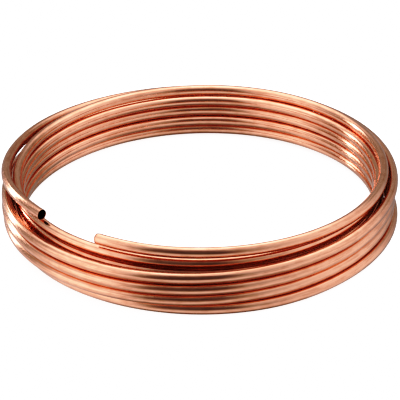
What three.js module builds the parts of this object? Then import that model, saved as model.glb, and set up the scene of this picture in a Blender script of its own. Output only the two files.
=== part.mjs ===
// A coil of bright copper tube: one soft-drawn tube, wound in two layers and lying flat.
//
// The tube is one piece from end to end. Its inner layer is wound first, from the top down to
// the floor. There the tube steps out and climbs back up as the outer layer. Its last turn
// leaves the layer, crosses over the top of the inner one and ends in the open.
//
// Units are millimetres, +Z is up, and the coil lies on z = 0 with its middle over the origin.

import * as THREE from 'three';

// The tube: 10 mm across as drawn, and pressed a little oval when it was wound.
const TUBE_WIDTH = 9.5;
const TUBE_HEIGHT = 10.5;
const WALL = 0.7;

// The two cut ends, in turns along the winding. Whole turns are at the front, on -Y.
const FIRST_END = -0.0907;
const LAST_END = 8.845;

// Faces: the flat sides of the tube's section, and the straight steps in one turn.
const SECTION_SIDES = 12;
const STEPS_PER_TURN = 28;

const FLOOR_HEIGHT = TUBE_HEIGHT / 2;

// What the winder's hand does, station by station: the radius and the height of the tube's
// centre at a turn. Between two stations the tube runs in a smooth cubic.
const STATIONS = [
	{ turn: -0.4, radius: 160.4, height: FLOOR_HEIGHT + 58 },
	{ turn: 0, radius: 171.7, height: FLOOR_HEIGHT + 52.3 },
	{ turn: 0.25, radius: 172.4, height: FLOOR_HEIGHT + 45.9 },
	{ turn: 0.6, radius: 169.7, height: FLOOR_HEIGHT + 44.1 },
	{ turn: 1.2, radius: 166.2, height: FLOOR_HEIGHT + 37.75 },
	{ turn: 2.4, radius: 167.6, height: FLOOR_HEIGHT + 24.7 },
	{ turn: 3.2, radius: 168.4, height: FLOOR_HEIGHT + 16 },
	{ turn: 3.8, radius: 165.6, height: FLOOR_HEIGHT + 9.45 },
	{ turn: 4.2, radius: 167.8, height: FLOOR_HEIGHT + 5.1 },
	{ turn: 4.55, radius: 170.1, height: FLOOR_HEIGHT + 1.35 },
	{ turn: 4.75, radius: 170.4, height: FLOOR_HEIGHT },
	{ turn: 4.9, radius: 173.4, height: FLOOR_HEIGHT },
	{ turn: 5.05, radius: 181.4, height: FLOOR_HEIGHT },
	{ turn: 5.25, radius: 182.7, height: FLOOR_HEIGHT + 0.8 },
	{ turn: 5.6, radius: 180.6, height: FLOOR_HEIGHT + 6.35 },
	{ turn: 6.3, radius: 180.1, height: FLOOR_HEIGHT + 14.1 },
	{ turn: 7, radius: 181.4, height: FLOOR_HEIGHT + 21.85 },
	{ turn: 7.6, radius: 180.4, height: FLOOR_HEIGHT + 28.35 },
	{ turn: 8.1, radius: 182.5, height: FLOOR_HEIGHT + 35 },
	{ turn: 8.3, radius: 184, height: FLOOR_HEIGHT + 36.4 },
	{ turn: 8.45, radius: 187.7, height: FLOOR_HEIGHT + 34.9 },
	{ turn: 8.57, radius: 187.3, height: FLOOR_HEIGHT + 36.2 },
	{ turn: 8.68, radius: 182.9, height: FLOOR_HEIGHT + 43.3 },
	{ turn: 8.76, radius: 179.7, height: FLOOR_HEIGHT + 48.65 },
	{ turn: 8.84, radius: 171.6, height: FLOOR_HEIGHT + 53 },
	{ turn: 8.95, radius: 166.5, height: FLOOR_HEIGHT + 53.5 },
];

// Neither layer is quite round. Each is this much wider from front to back, and as much
// narrower from side to side. One layer's value passes into the other's over the turn in which
// the tube steps out.
const INNER_OUT_OF_ROUND = -0.46;
const OUTER_OUT_OF_ROUND = 1.4;
const STEP_OUT_START = 4.5;

// The middle of the coil's footprint, seen from the axis that the turns are wound round. The
// step out and the crossing end push it off that axis.
const MIDDLE_X = 1.2;
const MIDDLE_Y = 3;

// The share of a turn over which the tube's direction is measured.
const DIRECTION_STEP = 0.001;

const winding = new THREE.CubicInterpolant(
	STATIONS.map( ( station ) => station.turn ),
	STATIONS.flatMap( ( station ) => [ station.radius, station.height ] ),
	2,
);

// The tube's centre at a turn. The floor carries the bottom turn, so nothing goes below that.
function centreAt( turn ) {

	const [ evenRadius, height ] = winding.evaluate( turn );
	const steppedOut = THREE.MathUtils.clamp( turn - STEP_OUT_START, 0, 1 );
	const outOfRound = THREE.MathUtils.lerp( INNER_OUT_OF_ROUND, OUTER_OUT_OF_ROUND, steppedOut );
	const radius = evenRadius + outOfRound * Math.cos( turn * 4 * Math.PI );
	const angle = ( turn - 0.25 ) * 2 * Math.PI;
	return new THREE.Vector3(
		radius * Math.cos( angle ) - MIDDLE_X,
		radius * Math.sin( angle ) - MIDDLE_Y,
		Math.max( height, FLOOR_HEIGHT ),
	);

}

// The turns at which the tube has a section: both ends, and every whole step between them, so
// that neighbouring turns bend at the same angles and keep an even gap.
function sectionTurns() {

	const turns = [ FIRST_END ];
	const firstStep = Math.floor( FIRST_END * STEPS_PER_TURN ) + 1;
	const lastStep = Math.ceil( LAST_END * STEPS_PER_TURN ) - 1;

	for ( let step = firstStep; step <= lastStep; step ++ ) {

		turns.push( step / STEPS_PER_TURN );

	}

	turns.push( LAST_END );
	return turns;

}

// The tube's centre line as an extrude path. The section never rolls: one of its flats faces
// down all the way, so the bottom turn lies flat on the floor.
class TubeRun extends THREE.Curve {

	constructor( turns ) {

		super();
		this.turns = turns;

	}

	getSpacedPoints() {

		return this.turns.map( centreAt );

	}

	computeFrenetFrames() {

		const tangents = this.turns.map( ( turn ) => {

			const before = centreAt( turn - DIRECTION_STEP );
			return centreAt( turn + DIRECTION_STEP ).sub( before ).normalize();

		} );
		const up = new THREE.Vector3( 0, 0, 1 );
		const normals = tangents.map( ( tangent ) => up.clone().cross( tangent ).normalize() );
		const binormals = tangents.map( ( tangent, i ) => tangent.clone().cross( normals[ i ] ) );
		return { tangents, normals, binormals };

	}

}

// An oval polygon of a width and a height between its flats, with one flat facing down.
function flatSidedRing( width, height, Outline ) {

	const corner = 0.5 / Math.cos( Math.PI / SECTION_SIDES );
	const points = Array.from( { length: SECTION_SIDES }, ( _, side ) => {

		const angle = ( side + 0.5 ) * 2 * Math.PI / SECTION_SIDES;
		return new THREE.Vector2(
			width * corner * Math.cos( angle ),
			height * corner * Math.sin( angle ),
		);

	} );
	return new Outline( points );

}

function copperTube() {

	const section = flatSidedRing( TUBE_WIDTH, TUBE_HEIGHT, THREE.Shape );
	const bore = flatSidedRing( TUBE_WIDTH - 2 * WALL, TUBE_HEIGHT - 2 * WALL, THREE.Path );
	section.holes.push( bore );

	const turns = sectionTurns();
	const geometry = new THREE.ExtrudeGeometry( section, {
		steps: turns.length - 1,
		extrudePath: new TubeRun( turns ),
	} );
	const copper = new THREE.MeshStandardMaterial( {
		color: 0xd98a66,
		roughness: 0.25,
		metalness: 1,
	} );
	const tube = new THREE.Mesh( geometry, copper );
	tube.name = 'copper_tube';
	return tube;

}

const coil = new THREE.Group();
coil.add( copperTube() );

export default coil;
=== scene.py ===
# A coil of bright copper tube lying on a pale floor: one soft-drawn tube, wound in two layers.
# Units are metres, +Z is up, and the coil lies on z = 0 with its middle over the origin.
import math

import bpy
from mathutils import Matrix, Vector


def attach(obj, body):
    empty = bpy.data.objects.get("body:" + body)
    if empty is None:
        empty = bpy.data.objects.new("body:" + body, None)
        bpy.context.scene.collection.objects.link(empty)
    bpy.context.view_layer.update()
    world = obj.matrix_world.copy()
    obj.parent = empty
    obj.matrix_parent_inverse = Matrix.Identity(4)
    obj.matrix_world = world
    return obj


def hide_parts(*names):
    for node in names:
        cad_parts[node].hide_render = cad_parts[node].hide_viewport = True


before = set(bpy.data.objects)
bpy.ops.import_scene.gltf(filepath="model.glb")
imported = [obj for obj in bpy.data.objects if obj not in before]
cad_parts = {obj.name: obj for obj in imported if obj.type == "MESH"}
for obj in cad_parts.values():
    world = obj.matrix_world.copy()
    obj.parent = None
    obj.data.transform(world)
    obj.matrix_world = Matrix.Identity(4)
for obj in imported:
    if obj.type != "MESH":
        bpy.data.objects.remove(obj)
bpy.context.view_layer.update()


# ---------------------------------------------------------------------------------------------
# The copper tube. One length of soft copper tube, drawn bright and wound cold on a former, from
# the top of the inner layer down to the floor and back up as the outer layer. One end was cut
# with a tube cutter, which rolls the rim in, and the other was reamed to a clean round mouth.
# ---------------------------------------------------------------------------------------------

MM = 0.001

# The section: 10 mm across as drawn, and pressed a little oval when it was wound.
TUBE_WIDTH = 9.5 * MM
TUBE_HEIGHT = 10.5 * MM
WALL = 0.7 * MM

# The two cut ends, in turns along the winding. Whole turns are at the front, on -Y, and the
# first quarter turn is at the right, on +X, where angles start.
FIRST_END = -0.0907
LAST_END = 8.845
RIGHT_SIDE = 0.25

# The height of the tube's centre where it lies on the floor.
FLOOR_HEIGHT = TUBE_HEIGHT / 2

# What the winder's hand does, station by station: a turn, and the radius and the height of the
# tube's centre there. Between two stations the tube runs in a smooth cubic.
TURN, RADIUS, HEIGHT = range(3)
STATIONS = [
    (-0.4, 160.4 * MM, FLOOR_HEIGHT + 58.0 * MM),
    (0.0, 171.7 * MM, FLOOR_HEIGHT + 52.3 * MM),
    (0.25, 172.4 * MM, FLOOR_HEIGHT + 45.45 * MM),
    (0.6, 169.7 * MM, FLOOR_HEIGHT + 43.8 * MM),
    (0.89, 167.8 * MM, FLOOR_HEIGHT + 41.15 * MM),
    (1.03, 168.3 * MM, FLOOR_HEIGHT + 38.65 * MM),
    (1.2, 168.4 * MM, FLOOR_HEIGHT + 36.75 * MM),
    (1.32, 166.9 * MM, FLOOR_HEIGHT + 36.0 * MM),
    (1.45, 166.1 * MM, FLOOR_HEIGHT + 35.25 * MM),
    (1.9, 166.8 * MM, FLOOR_HEIGHT + 29.95 * MM),
    (2.15, 167.2 * MM, FLOOR_HEIGHT + 26.7 * MM),
    (2.4, 167.6 * MM, FLOOR_HEIGHT + 24.7 * MM),
    (3.2, 168.4 * MM, FLOOR_HEIGHT + 15.6 * MM),
    (3.8, 165.6 * MM, FLOOR_HEIGHT + 9.45 * MM),
    (4.2, 167.8 * MM, FLOOR_HEIGHT + 5.1 * MM),
    (4.55, 170.1 * MM, FLOOR_HEIGHT + 1.35 * MM),
    (4.75, 170.4 * MM, FLOOR_HEIGHT),
    (4.9, 173.4 * MM, FLOOR_HEIGHT),
    (5.05, 181.4 * MM, FLOOR_HEIGHT + 0.2 * MM),
    (5.13, 182.3 * MM, FLOOR_HEIGHT + 1.05 * MM),
    (5.25, 182.7 * MM, FLOOR_HEIGHT + 0.8 * MM),
    (5.6, 180.6 * MM, FLOOR_HEIGHT + 6.35 * MM),
    (6.3, 180.1 * MM, FLOOR_HEIGHT + 13.95 * MM),
    (7.0, 181.4 * MM, FLOOR_HEIGHT + 21.85 * MM),
    (7.6, 180.4 * MM, FLOOR_HEIGHT + 28.35 * MM),
    (8.1, 182.4 * MM, FLOOR_HEIGHT + 34.8 * MM),
    (8.3, 184.0 * MM, FLOOR_HEIGHT + 35.85 * MM),
    (8.45, 187.7 * MM, FLOOR_HEIGHT + 34.4 * MM),
    (8.57, 187.3 * MM, FLOOR_HEIGHT + 36.2 * MM),
    (8.68, 182.9 * MM, FLOOR_HEIGHT + 43.3 * MM),
    (8.76, 179.7 * MM, FLOOR_HEIGHT + 48.65 * MM),
    (8.84, 171.6 * MM, FLOOR_HEIGHT + 53.0 * MM),
    (8.95, 166.5 * MM, FLOOR_HEIGHT + 53.5 * MM),
]

# Neither layer is quite round. Each is this much wider from front to back, and as much
# narrower from side to side. One layer's value passes into the other's over the turn in which
# the tube steps out.
INNER_OUT_OF_ROUND = -0.46 * MM
OUTER_OUT_OF_ROUND = 1.4 * MM
STEP_OUT_START = 4.5

# The middle of the coil's footprint, seen from the axis that the turns are wound round. The
# step out and the crossing end push it off that axis.
MIDDLE = Vector((1.2 * MM, 3.0 * MM, 0.0))

ROUTE_STEPS_PER_TURN = 400


def slope_at(index, value):
    """The slope of the radius or the height at a station, from the stations beside it."""
    before, after = STATIONS[index - 1], STATIONS[index + 1]
    return (after[value] - before[value]) / (after[TURN] - before[TURN])


def between_stations(turn, value):
    """The radius or the height at a turn, on the cubic through the stations. At the first and
    the last station the cubic doesn't bend."""
    last = len(STATIONS) - 2
    index = 0
    while index < last and turn >= STATIONS[index + 1][TURN]:
        index += 1
    here, after = STATIONS[index], STATIONS[index + 1]
    span = after[TURN] - here[TURN]
    share = (turn - here[TURN]) / span
    chord = (after[value] - here[value]) / span
    if index == 0:
        end = slope_at(index + 1, value)
        start = 1.5 * chord - 0.5 * end
    elif index == last:
        start = slope_at(index, value)
        end = 1.5 * chord - 0.5 * start
    else:
        start = slope_at(index, value)
        end = slope_at(index + 1, value)
    rise = share * share * (3 - 2 * share)
    return (
        here[value] * (1 - rise)
        + after[value] * rise
        + span * start * share * (1 - share) ** 2
        - span * end * share * share * (1 - share)
    )


def centre_at(turn):
    """The tube's centre at a turn. The floor carries the bottom turn, so nothing goes below it."""
    stepped_out = min(max(turn - STEP_OUT_START, 0), 1)
    out_of_round = INNER_OUT_OF_ROUND * (1 - stepped_out) + OUTER_OUT_OF_ROUND * stepped_out
    radius = between_stations(turn, RADIUS) + out_of_round * math.cos(turn * 2 * math.tau)
    height = max(between_stations(turn, HEIGHT), FLOOR_HEIGHT)
    angle = (turn - RIGHT_SIDE) * math.tau
    return Vector((radius * math.cos(angle), radius * math.sin(angle), height)) - MIDDLE


def winding_route():
    """A wire along the tube's centre, from the first end to the last."""
    steps = math.ceil((LAST_END - FIRST_END) * ROUTE_STEPS_PER_TURN)
    turns = [FIRST_END + (LAST_END - FIRST_END) * step / steps for step in range(steps + 1)]
    wire = bpy.data.meshes.new("winding_route")
    wire.from_pydata([centre_at(turn) for turn in turns], [(i, i + 1) for i in range(steps)], [])
    return wire


class Signal:
    """An output of a node. Sums on signals become Math nodes in the same tree."""

    def __init__(self, socket):
        self.socket = socket

    def math(self, operation, *values, clamp=False):
        settings = {"operation": operation, "use_clamp": clamp}
        return node(self.socket.id_data, "ShaderNodeMath", settings, values)[0]

    def __add__(self, other):
        return self.math("ADD", self, other)

    def __radd__(self, other):
        return self.math("ADD", other, self)

    def __sub__(self, other):
        return self.math("SUBTRACT", self, other)

    def __rsub__(self, other):
        return self.math("SUBTRACT", other, self)

    def __mul__(self, other):
        return self.math("MULTIPLY", self, other)

    def __rmul__(self, other):
        return self.math("MULTIPLY", other, self)

    def __truediv__(self, other):
        return self.math("DIVIDE", self, other)

    def __rtruediv__(self, other):
        return self.math("DIVIDE", other, self)

    def __pow__(self, other):
        return self.math("POWER", self, other)

    def __rpow__(self, other):
        return self.math("POWER", other, self)

    def clamped(self):
        return self.math("ADD", self, 0.0, clamp=True)

    def sine(self):
        return self.math("SINE", self)

    def cosine(self):
        return self.math("COSINE", self)


def node(tree, kind, settings=None, values=()):
    """Adds a node: its settings first, then the values or signals of its sockets, which are
    given in order or by name. Returns its outputs as signals."""
    made = tree.nodes.new(kind)
    for name, setting in (settings or {}).items():
        setattr(made, name, setting)
    pairs = values.items() if isinstance(values, dict) else enumerate(values)
    for name, value in pairs:
        if isinstance(value, Signal):
            tree.links.new(value.socket, made.inputs[name])
        else:
            made.inputs[name].default_value = value
    return [Signal(output) for output in made.outputs if output.enabled]


def vector_math(tree, operation, *values):
    """A Vector Math node's vector."""
    return node(tree, "ShaderNodeVectorMath", {"operation": operation}, values)[0]


def tube_tree():
    """The tree that makes a wire into a hollow tube. A sheet is rolled round the wire, one row
    of points for each section: out along the outside, over the lip of the last end, back along
    the bore and over the lip of the first end."""
    tree = bpy.data.node_groups.new("wound_tube", "GeometryNodeTree")
    inputs = {
        "Route": "NodeSocketGeometry",
        "Tube Width": "NodeSocketFloat",
        "Tube Height": "NodeSocketFloat",
        "Wall": "NodeSocketFloat",
        "Sides": "NodeSocketInt",
        "Outer Steps": "NodeSocketInt",
        "Bore Steps": "NodeSocketInt",
        "Rim Steps": "NodeSocketInt",
        "Lip Steps": "NodeSocketInt",
        "Rim Length": "NodeSocketFloat",
        "Rolled In": "NodeSocketFloat",
        "Reamed Away": "NodeSocketFloat",
        "Reamed Length": "NodeSocketFloat",
        "Dent Depth": "NodeSocketFloat",
        "Dent Length": "NodeSocketFloat",
        "Seed": "NodeSocketFloat",
        "Weld Distance": "NodeSocketFloat",
        "Metal": "NodeSocketMaterial",
    }
    for name, kind in inputs.items():
        tree.interface.new_socket(name, in_out="INPUT", socket_type=kind)
    tree.interface.new_socket("Tube", in_out="OUTPUT", socket_type="NodeSocketGeometry")
    size = {signal.socket.name: signal for signal in node(tree, "NodeGroupInput")}

    route = node(tree, "GeometryNodeMeshToCurve", {}, {"Mesh": size["Route"]})[0]
    length = node(tree, "GeometryNodeCurveLength", {}, [route])[0]
    wall = size["Wall"]
    rim = size["Rim Length"]
    barrel = length - wall - rim * 2

    # Each leg of the sheet: its rows, how far it runs along the tube, and whether it goes
    # straight or turns over a lip, into the bore or out of it.
    straight, inwards, outwards = 0, 1, -1
    legs = [
        (size["Rim Steps"], rim, straight),
        (size["Outer Steps"], barrel, straight),
        (size["Rim Steps"], rim, straight),
        (size["Lip Steps"], 0, inwards),
        (size["Rim Steps"], rim * -1, straight),
        (size["Bore Steps"], barrel * -1, straight),
        (size["Rim Steps"], rim * -1, straight),
        (size["Lip Steps"], 0, outwards),
    ]
    rows = sum(steps for steps, _, _ in legs)
    sheet = node(tree, "GeometryNodeMeshGrid", {}, [1.0, 1.0, rows + 1, size["Sides"] + 1])[0]
    place = node(tree, "GeometryNodeInputPosition")[0]
    across, around, _ = node(tree, "ShaderNodeSeparateXYZ", {}, [place])
    row = (across + 0.5) * rows
    angle = (around + 0.5) * math.tau

    # Every row's distance along the tube, and how far it lies in from the tube's outside. A lip
    # is half a circle, as wide as the wall.
    distance = wall / 2
    inset = 0
    start = 0
    for steps, run, lip in legs:
        share = ((row - start) / steps).clamped()
        start = start + steps
        if lip == straight:
            distance = distance + run * share
        else:
            distance = distance + (share * math.pi).sine() * wall * (lip / 2)
            inset = inset + (1 - (share * math.pi).cosine()) * wall * (lip / 2)

    # The cutter rolls in the first rim, and the reamer thins the last one from within.
    rolled = (1 - distance / rim).clamped() ** 2
    reamed = (1 - (length - distance) / size["Reamed Length"]).clamped()
    inset = inset * (1 - reamed * size["Reamed Away"]) + rolled * size["Rolled In"]

    # Handling presses the soft tube a little further in, more in some places than in others.
    outline = node(tree, "ShaderNodeCombineXYZ", {}, [
        size["Tube Width"] * angle.cosine() / 2, size["Tube Height"] * angle.sine() / 2, distance,
    ])[0]
    dents = node(tree, "ShaderNodeTexNoise", {"noise_dimensions": "4D"}, {
        "Vector": outline, "W": size["Seed"], "Scale": 1 / size["Dent Length"], "Detail": 1.0,
    })[0]
    inset = inset + dents * size["Dent Depth"]

    _, centre, along, _ = node(tree, "GeometryNodeSampleCurve", {"mode": "LENGTH"}, {
        "Curves": route, "Length": distance,
    })
    sideways = vector_math(tree, "CROSS_PRODUCT", Vector((0, 0, 1)), along)
    sideways = vector_math(tree, "NORMALIZE", sideways)
    upwards = vector_math(tree, "CROSS_PRODUCT", along, sideways)
    half_width = size["Tube Width"] / 2 - inset
    half_height = size["Tube Height"] / 2 - inset
    reaches = [(sideways, half_width * angle.cosine()), (upwards, half_height * angle.sine())]
    point = centre
    for direction, reach in reaches:
        step = node(tree, "ShaderNodeVectorMath", {"operation": "SCALE"}, {
            "Vector": direction, "Scale": reach,
        })[0]
        point = vector_math(tree, "ADD", point, step)

    # The surface keeps where each point lay in the die, for the lines of the drawing.
    tube = node(tree, "GeometryNodeStoreNamedAttribute", {"data_type": "FLOAT_VECTOR"}, {
        "Geometry": sheet, "Name": "as_drawn", "Value": outline,
    })[0]
    tube = node(tree, "GeometryNodeSetPosition", {}, {"Geometry": tube, "Position": point})[0]
    tube = node(tree, "GeometryNodeMergeByDistance", {}, {
        "Geometry": tube, "Distance": size["Weld Distance"],
    })[0]
    tube = node(tree, "GeometryNodeSetShadeSmooth", {}, {"Geometry": tube})[0]
    tube = node(tree, "GeometryNodeRealizeInstances", {}, [tube])[0]
    tube = node(tree, "GeometryNodeSetMaterial", {}, {
        "Geometry": tube, "Material": size["Metal"],
    })[0]
    node(tree, "NodeGroupOutput", {}, [tube])
    return tree


def made_by_tree(name, start, tree, sizes):
    """A plain mesh object of what a tree makes from a mesh, with its sizes given by name."""
    maker = bpy.data.objects.new(name, start)
    bpy.context.scene.collection.objects.link(maker)
    modifier = maker.modifiers.new(name, "NODES")
    modifier.node_group = tree
    for item in tree.interface.items_tree:
        if item.name in sizes:
            modifier[item.identifier] = sizes[item.name]
    made = maker.evaluated_get(bpy.context.evaluated_depsgraph_get())
    mesh = bpy.data.meshes.new_from_object(made)
    mesh.name = name
    maker.modifiers.clear()
    maker.data = mesh
    return maker


COPPER = (0.83, 0.405, 0.27, 1.0)
TARNISHED_COPPER = (0.58, 0.23, 0.135, 1.0)

# Every noise swings round MIDDLING. The tarnish swings with each of them by so many times as
# much, round TARNISH_ALL_OVER, and takes at most MOST_TARNISH of the tarnished colour.
MIDDLING = 0.5
TARNISH_BY_BLOOM = 4
TARNISH_BY_LINES = 5
TARNISH_BY_FACETS = 3
TARNISH_ALL_OVER = 0.35
MOST_TARNISH = 0.6

# How deep the facets are, and the depth of the lines as a share of that.
FACET_DEPTH = 0.18 * MM
LINES_TO_FACETS = 0.1

# The roughness of bright copper, and what the lines and the bloom add to it.
BRIGHT_ROUGHNESS = 0.09
ROUGHNESS_BY_LINES = 0.08
ROUGHNESS_BY_BLOOM = 0.08


def marks(tree, drawn, across, along, detail, roughness):
    """A noise on the drawn tube, with so many marks in a metre across it and along it."""
    stretched = vector_math(tree, "MULTIPLY", drawn, Vector((1, 1, along / across)))
    return node(tree, "ShaderNodeTexNoise", {}, {
        "Vector": stretched, "Scale": across, "Detail": detail, "Roughness": roughness,
    })[0]


def bright_copper():
    """Bright-drawn copper: fine lines and faint facets along the tube from the die, and a
    bloom of tarnish."""
    metal = bpy.data.materials.new("bright_copper")
    metal.use_nodes = True
    tree = metal.node_tree
    tree.nodes.clear()
    _, drawn, _, _ = node(tree, "ShaderNodeAttribute", {"attribute_name": "as_drawn"})
    lines = marks(tree, drawn, across=900.0, along=18.0, detail=4.0, roughness=0.6)
    bloom = marks(tree, drawn, across=220.0, along=88.0, detail=3.0, roughness=0.55)
    facets = marks(tree, drawn, across=400.0, along=12.0, detail=2.0, roughness=0.5)
    tarnish = (
        (bloom - MIDDLING) * TARNISH_BY_BLOOM
        + (lines - MIDDLING) * TARNISH_BY_LINES
        + (facets - MIDDLING) * TARNISH_BY_FACETS
        + TARNISH_ALL_OVER
    ).clamped()
    colour = node(tree, "ShaderNodeMix", {"data_type": "RGBA"}, {
        "Factor": tarnish * MOST_TARNISH, "A": COPPER, "B": TARNISHED_COPPER,
    })[0]
    bump = node(tree, "ShaderNodeBump", {}, {
        "Strength": 1.0, "Distance": FACET_DEPTH, "Height": facets + lines * LINES_TO_FACETS,
    })[0]
    roughness = BRIGHT_ROUGHNESS + lines * ROUGHNESS_BY_LINES + bloom * ROUGHNESS_BY_BLOOM
    shader = node(tree, "ShaderNodeBsdfPrincipled", {}, {
        "Base Color": colour, "Metallic": 1.0, "Roughness": roughness, "Normal": bump,
    })[0]
    node(tree, "ShaderNodeOutputMaterial", {}, {"Surface": shader})
    return metal


bright_copper_tube = made_by_tree("bright_copper_tube", winding_route(), tube_tree(), {
    "Tube Width": TUBE_WIDTH,
    "Tube Height": TUBE_HEIGHT,
    "Wall": WALL,
    "Sides": 32,
    "Outer Steps": 1600,
    "Bore Steps": 600,
    "Rim Steps": 10,
    "Lip Steps": 6,
    "Rim Length": 4 * MM,
    "Rolled In": 0.8 * MM,
    "Reamed Away": 0.85,
    "Reamed Length": 2 * MM,
    "Dent Depth": 0.08 * MM,
    "Dent Length": 30 * MM,
    "Seed": 4.0,
    "Weld Distance": 0.01 * MM,
    "Metal": bright_copper(),
})
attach(bright_copper_tube, "root")
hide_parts("copper_tube")


# ---------------------------------------------------------------------------------------------
# The floor. A wide sheet of white card on a table, which runs out of sight on every side. It
# glows a little, as card does under lamps of its own. The metal doesn't see it, because the
# tent below has a floor of its own.
# ---------------------------------------------------------------------------------------------

FLOOR_SIDE = 12.0

CARD = (0.8, 0.8, 0.8, 1.0)
CARD_GLOW = (1.0, 1.0, 1.0, 1.0)
CARD_GLOW_STRENGTH = 0.9
CARD_ROUGHNESS = 0.5
ROUGHNESS_BY_FIBRE = 0.1
FIBRES_PER_METRE = 900.0


def white_card():
    """White card, with a fine fibre in its finish."""
    card = bpy.data.materials.new("white_card")
    card.use_nodes = True
    tree = card.node_tree
    tree.nodes.clear()
    _, _, _, object_place, *_ = node(tree, "ShaderNodeTexCoord")
    fibre = node(tree, "ShaderNodeTexNoise", {}, {
        "Vector": object_place, "Scale": FIBRES_PER_METRE, "Detail": 3.0,
    })[0]
    shader = node(tree, "ShaderNodeBsdfPrincipled", {}, {
        "Base Color": CARD, "Roughness": CARD_ROUGHNESS + fibre * ROUGHNESS_BY_FIBRE,
        "Emission Color": CARD_GLOW, "Emission Strength": CARD_GLOW_STRENGTH,
    })[0]
    node(tree, "ShaderNodeOutputMaterial", {}, {"Surface": shader})
    return card


floor_mesh = bpy.data.meshes.new("floor")
half = FLOOR_SIDE / 2
floor_corners = [(-half, -half, 0), (half, -half, 0), (half, half, 0), (-half, half, 0)]
floor_mesh.from_pydata(floor_corners, [], [(0, 1, 2, 3)])
floor_mesh.materials.append(white_card())
floor = bpy.data.objects.new("floor", floor_mesh)
floor.visible_glossy = False
bpy.context.scene.collection.objects.link(floor)


# ---------------------------------------------------------------------------------------------
# The studio. A tent of white cloth stands round the coil, with a strip light, softboxes and
# dark cloths on it, and one more softbox hangs over the floor. Only the mirror reflections in
# the metal see the tent.
# ---------------------------------------------------------------------------------------------

# The light that comes evenly from the whole room. The metal doesn't mirror it.
ROOM_LIGHT = 1.2

room = bpy.data.worlds.new("room")
room.use_nodes = True
backdrop = room.node_tree.nodes["Background"]
backdrop.inputs["Color"].default_value = (1.0, 1.0, 1.0, 1.0)
backdrop.inputs["Strength"].default_value = ROOM_LIGHT
room.cycles_visibility.glossy = False
bpy.context.scene.world = room

TENT_RADIUS = 1.2
TENT_LIGHT = 1.08

# Angles on the tent are in degrees. Azimuth 0 is the front, and positive azimuths are to the
# right. A panel of the tent is PANEL wide and high.
BACK = 180
TOP = 90
PANEL = 5

# The parts of the tent. Each fills a range of azimuths and one of elevations, both given with
# the width of their soft edges, and darkens or brightens the cloth by so much. A part with no
# azimuths goes all the way round, and an elevation of NO_LIMIT is past the top or the bottom.
NO_LIMIT = 180
CLOTH = 1.0
DARKENED = [
    ((-35, 20, 15), (-10, 60, 25), 0.75),  # The black cloth round the camera.
    ((-35, 50, 40), (-10, 45, 50), 0.6),  # The dim front wall.
    ((115, 245, 35), (-50, 40, 15), 0.7),  # The unlit back wall.
    ((-115, -85, 15), (-20, 35, 25), 0.85),  # The black flag beside the strip light.
    (None, (-NO_LIMIT, -30, 20), 0.25),  # The floor.
    (None, (-NO_LIMIT, -55, 30), 0.8),  # The floor in the coil's own shade.
]
BRIGHTENED = [
    ((-100, -45, 20), (-15, 25, 25), 0.65),  # The softbox at the left.
    ((-122, -118, 4), (-10, 20, 10), 14.0),  # The strip light.
    ((-135, -125, 5), (20, 30, 5), 8.0),  # Its upper end, which leans back.
    ((-135, -110, 15), (-15, 30, 15), 0.4),  # The cloth round the strip light.
    ((100, 260, 60), (45, NO_LIMIT, 20), 0.75),  # The softbox high at the back.
    ((110, 300, 50), (45, NO_LIMIT, 20), 0.45),  # The cloth that it lights.
    (None, (75, NO_LIMIT, 20), 0.35),  # The roof.
    ((-190, -60, 80), (-60, -15, 10), 0.25),  # The floor at the left, lit by the softbox.
]


def tent_cloth():
    """Lit cloth, as bright at each azimuth and elevation as the parts of the tent make it."""
    cloth = bpy.data.materials.new("tent_cloth")
    cloth.use_nodes = True
    tree = cloth.node_tree
    tree.nodes.clear()
    place = node(tree, "ShaderNodeUVMap", {"uv_map": "azimuth_and_elevation"})[0]
    azimuth, elevation, _ = node(tree, "ShaderNodeSeparateXYZ", {}, [place])

    def between(angle, low, high, edge):
        """1 between two angles, with soft edges."""
        return ((angle - low) / edge + 0.5).clamped() * ((high - angle) / edge + 0.5).clamped()

    def cover(azimuths, elevations):
        """1 on a part of the tent. A part may reach past the back and on from the left."""
        up = between(elevation, *elevations)
        if azimuths is None:
            return up
        across = between(azimuth, *azimuths)
        if azimuths[1] > BACK:
            across = across + between(azimuth + 2 * BACK, *azimuths)
        return across * up

    brightness = CLOTH
    for azimuths, elevations, darkness in DARKENED:
        brightness = (1 - cover(azimuths, elevations) * darkness) * brightness
    for azimuths, elevations, light in BRIGHTENED:
        brightness = brightness + cover(azimuths, elevations) * light
    shader = node(tree, "ShaderNodeEmission", {}, {
        "Color": brightness, "Strength": TENT_LIGHT,
    })[0]
    node(tree, "ShaderNodeOutputMaterial", {}, {"Surface": shader})
    return cloth


tent_azimuths = range(-BACK, BACK + 1, PANEL)
tent_elevations = range(-TOP, TOP + 1, PANEL)
tent_angles = [(azimuth, elevation) for elevation in tent_elevations for azimuth in tent_azimuths]
tent_corners = []
for azimuth, elevation in tent_angles:
    turned = Matrix.Rotation(math.radians(azimuth), 3, "Z")
    raised = Matrix.Rotation(math.radians(-elevation), 3, "X")
    tent_corners.append(turned @ raised @ Vector((0, -TENT_RADIUS, 0)))
ring = len(tent_azimuths)
tent_panels = []
for start in range(0, len(tent_angles) - ring, ring):
    for corner in range(start, start + ring - 1):
        above = corner + ring
        tent_panels.append((corner, corner + 1, above + 1, above))

tent_mesh = bpy.data.meshes.new("tent")
tent_mesh.from_pydata(tent_corners, [], tent_panels)
angle_map = tent_mesh.uv_layers.new(name="azimuth_and_elevation")
for loop in tent_mesh.loops:
    angle_map.data[loop.index].uv = tent_angles[loop.vertex_index]
tent_mesh.materials.append(tent_cloth())
tent = bpy.data.objects.new("tent", tent_mesh)
tent.visible_camera = False
tent.visible_diffuse = False
tent.visible_shadow = False
bpy.context.scene.collection.objects.link(tent)

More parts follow.
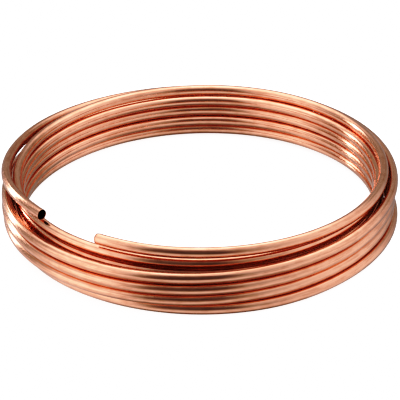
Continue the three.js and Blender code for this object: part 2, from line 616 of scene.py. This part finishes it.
# The softbox over the floor faces down. Its radiance is how bright its cloth is.
OVERHEAD_WIDTH = 3.6
OVERHEAD_DEPTH = 2.6
OVERHEAD_PLACE = (0, 0.7, 2.6)
OVERHEAD_RADIANCE = 1.9

overhead = bpy.data.lights.new("overhead_softbox", "AREA")
overhead.shape = "RECTANGLE"
overhead.size = OVERHEAD_WIDTH
overhead.size_y = OVERHEAD_DEPTH
overhead.energy = OVERHEAD_RADIANCE * math.pi * OVERHEAD_WIDTH * OVERHEAD_DEPTH
overhead_lamp = bpy.data.objects.new("overhead_softbox", overhead)
overhead_lamp.location = OVERHEAD_PLACE
overhead_lamp.visible_camera = False
overhead_lamp.visible_glossy = False
bpy.context.scene.collection.objects.link(overhead_lamp)


# ---------------------------------------------------------------------------------------------
# The camera. It stands at the front, looks down on the coil with a long lens, and prints the
# picture with deepened darks and soft lights.
# ---------------------------------------------------------------------------------------------

CAMERA_AIM = Vector((0.0, -3.0 * MM, 17.44 * MM))
CAMERA_DISTANCE = 2.4278
CAMERA_ELEVATION = math.radians(28.421)
CAMERA_ROLL = math.radians(-1.409)
FOCAL_LENGTH_IN_PIXELS = 2584.8
PICTURE_WIDTH_IN_PIXELS = 400
SENSOR_WIDTH_IN_MM = 36

lens = bpy.data.cameras.new("camera")
lens.sensor_width = SENSOR_WIDTH_IN_MM
lens.lens = FOCAL_LENGTH_IN_PIXELS / PICTURE_WIDTH_IN_PIXELS * SENSOR_WIDTH_IN_MM
camera = bpy.data.objects.new("camera", lens)
away = Vector((0, -math.cos(CAMERA_ELEVATION), math.sin(CAMERA_ELEVATION)))
camera.matrix_world = (
    Matrix.Translation(CAMERA_AIM + away * CAMERA_DISTANCE)
    @ Matrix.Rotation(math.pi / 2 - CAMERA_ELEVATION, 4, "X")
    @ Matrix.Rotation(CAMERA_ROLL, 4, "Z")
)
bpy.context.scene.collection.objects.link(camera)
bpy.context.scene.camera = camera

# The print, as tones and how light each is printed. The curve of all three colours together
# starts with a point at each end, so only the tones between are added.
LIGHTEST = 1.6
PRINT = [(0.05, 0.02), (0.15, 0.13), (0.4, 0.41), (0.7, 0.725), (1.0, 0.92)]
ALL_COLOURS = 3

view = bpy.context.scene.view_settings
view.view_transform = "Standard"
view.use_curve_mapping = True
view.curve_mapping.white_level = (LIGHTEST, LIGHTEST, LIGHTEST)
view.curve_mapping.extend = "HORIZONTAL"
for tone, printed in PRINT:
    view.curve_mapping.curves[ALL_COLOURS].points.new(tone / LIGHTEST, printed)
view.curve_mapping.update()
